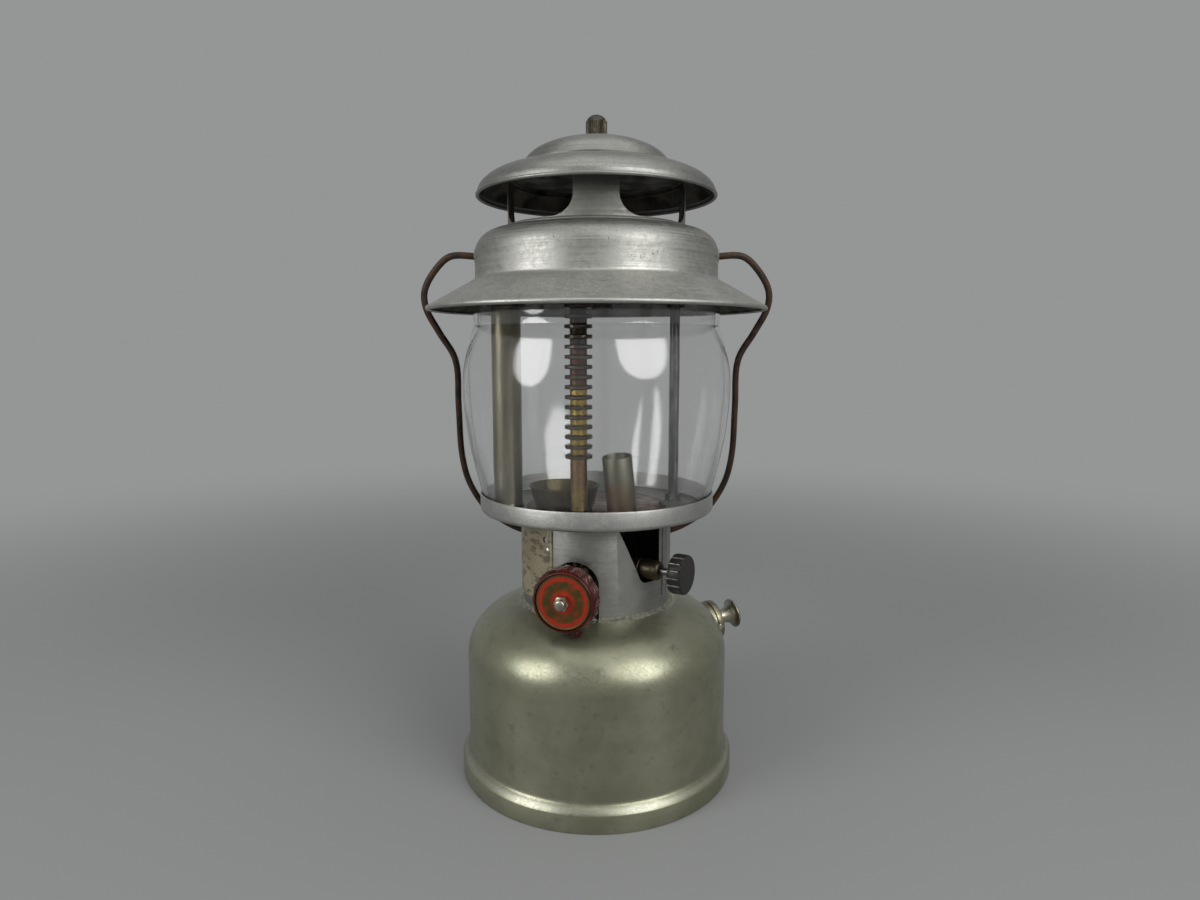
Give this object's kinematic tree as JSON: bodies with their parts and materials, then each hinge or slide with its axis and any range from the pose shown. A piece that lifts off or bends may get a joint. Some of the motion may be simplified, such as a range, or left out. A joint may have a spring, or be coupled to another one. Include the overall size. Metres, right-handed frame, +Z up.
{
  "type": "kerosene lantern",
  "caption": "Table kerosene pressure lantern: round fuel tank with pump, collar with valves, glass globe over a finned generator, spun hood, chimney, cap and wire bail.",
  "frame": {"origin": "centre of the tank's foot, on the surface that the lantern stands on", "axes": "+Z up along the lantern's axis; -Y is the front, with the fuel valve's wheel; +X is the right, with the torch valve and the pump"},
  "size_m": [0.1992, 0.1876, 0.3685],
  "materials": {
    "aged_nickel": "worn nickel plate on brass, satin, mottled",
    "brass": "aged brass",
    "dark_brass": "heat darkened brass",
    "spun_aluminium": "spun and brushed, satin, worn edges",
    "steel": "dull mottled steel",
    "rusty_wire": "rusted wire",
    "dark_casting": "sooty casting",
    "heat_tinted_plate": "heat tinted sheet",
    "globe_glass": "clear",
    "plate_enamel": "yellowed paint, matt",
    "maroon_bakelite": "moulded, worn gloss",
    "red_painted_plate": "red paint worn to brass",
    "black_bakelite": "moulded, satin",
    "leather": "oiled",
    "rubber": "matt"
  },
  "bodies": {
    "lantern": {"tank_shell": "aged_nickel", "tank_bottom": "steel", "filler_neck": "brass", "pump_barrel": "brass", "pump_check_valve": "brass", "pump_cap": "aged_nickel", "pump_cap_screw_1": "aged_nickel", "pump_cap_screw_2": "aged_nickel", "frame_collar": "spun_aluminium", "instruction_plate": "plate_enamel", "plate_rivet_1": "aged_nickel", "plate_rivet_2": "aged_nickel", "gallery": "spun_aluminium", "floor_plate": "heat_tinted_plate", "gallery_screw_1": "steel", "gallery_screw_2": "steel", "gallery_screw_3": "steel", "air_tube": "aged_nickel", "support_rod": "steel", "rod_foot_washer": "steel", "rod_foot_nut": "steel", "fuel_valve_body": "brass", "fuel_pickup_tube": "brass", "valve_packing_nut": "brass", "generator": "dark_brass", "generator_foot_nut": "brass", "gas_tip": "brass", "torch_valve_body": "dark_brass", "torch_packing_nut": "dark_brass", "torch_tube": "aged_nickel", "torch_feed_pipe": "brass", "spirit_cup": "dark_brass", "burner_body": "dark_casting", "burner_nozzle": "dark_casting", "vent_stud": "steel", "globe": "globe_glass", "vent_hood": "spun_aluminium", "vent_chimney": "spun_aluminium", "vent_cap": "spun_aluminium"},
    "bail": {"bail": "rusty_wire"},
    "fuel_valve": {"valve_wheel": "maroon_bakelite", "wheel_face_plate": "red_painted_plate", "wheel_nut": "aged_nickel", "valve_stem": "steel"},
    "needle": {"cleaning_needle": "steel"},
    "torch_valve": {"torch_knob": "black_bakelite", "torch_stem": "steel"},
    "pump_plunger": {"pump_knob": "aged_nickel", "pump_rod": "steel", "pump_leather": "leather"},
    "filler_seal": {"filler_gasket": "rubber"},
    "filler_top": {"filler_cap": "aged_nickel"},
    "top_nut": {"top_nut": "dark_brass"}
  },
  "joints": [
    {"name": "bail_swing", "type": "hinge", "parent": "lantern", "child": "bail", "pos_m": [0, 0, 0.294], "axis": [1, 0, 0], "range_deg": [0, 310]},
    {"name": "valve_turn", "type": "hinge", "parent": "lantern", "child": "fuel_valve", "pos_m": [-0.0093, -0.035, 0.1158], "axis": [-0.2756, -0.9613, 0], "range_deg": [0, 360]},
    {"name": "needle_lift", "type": "slide", "parent": "lantern", "child": "needle", "axis": [0, 0, 1], "range_m": [0, 0.0024]},
    {"name": "torch_turn", "type": "hinge", "parent": "lantern", "child": "torch_valve", "pos_m": [0.0275, -0.031, 0.1245], "axis": [0.866, -0.5, 0], "range_deg": [0, 360]},
    {"name": "pump_slide", "type": "slide", "parent": "lantern", "child": "pump_plunger", "axis": [0.9088, 0.3839, 0.1633], "range_m": [0, 0.068]},
    {"name": "filler_lift", "type": "slide", "parent": "lantern", "child": "filler_seal", "axis": [0, 0, 1], "range_m": [0, 0.009]},
    {"name": "filler_cap_turn", "type": "hinge", "parent": "filler_seal", "child": "filler_top", "pos_m": [0, 0.057, 0.104], "axis": [0, 0, 1], "range_deg": [0, 720]},
    {"name": "top_nut_turn", "type": "hinge", "parent": "lantern", "child": "top_nut", "pos_m": [0, 0, 0.364], "axis": [0, 0, 1], "range_deg": [0, 1080]}
  ],
  "couplings": [
    {"joint": "needle_lift", "follows": "valve_turn", "m_per_rad": 0.00038197}
  ]
}
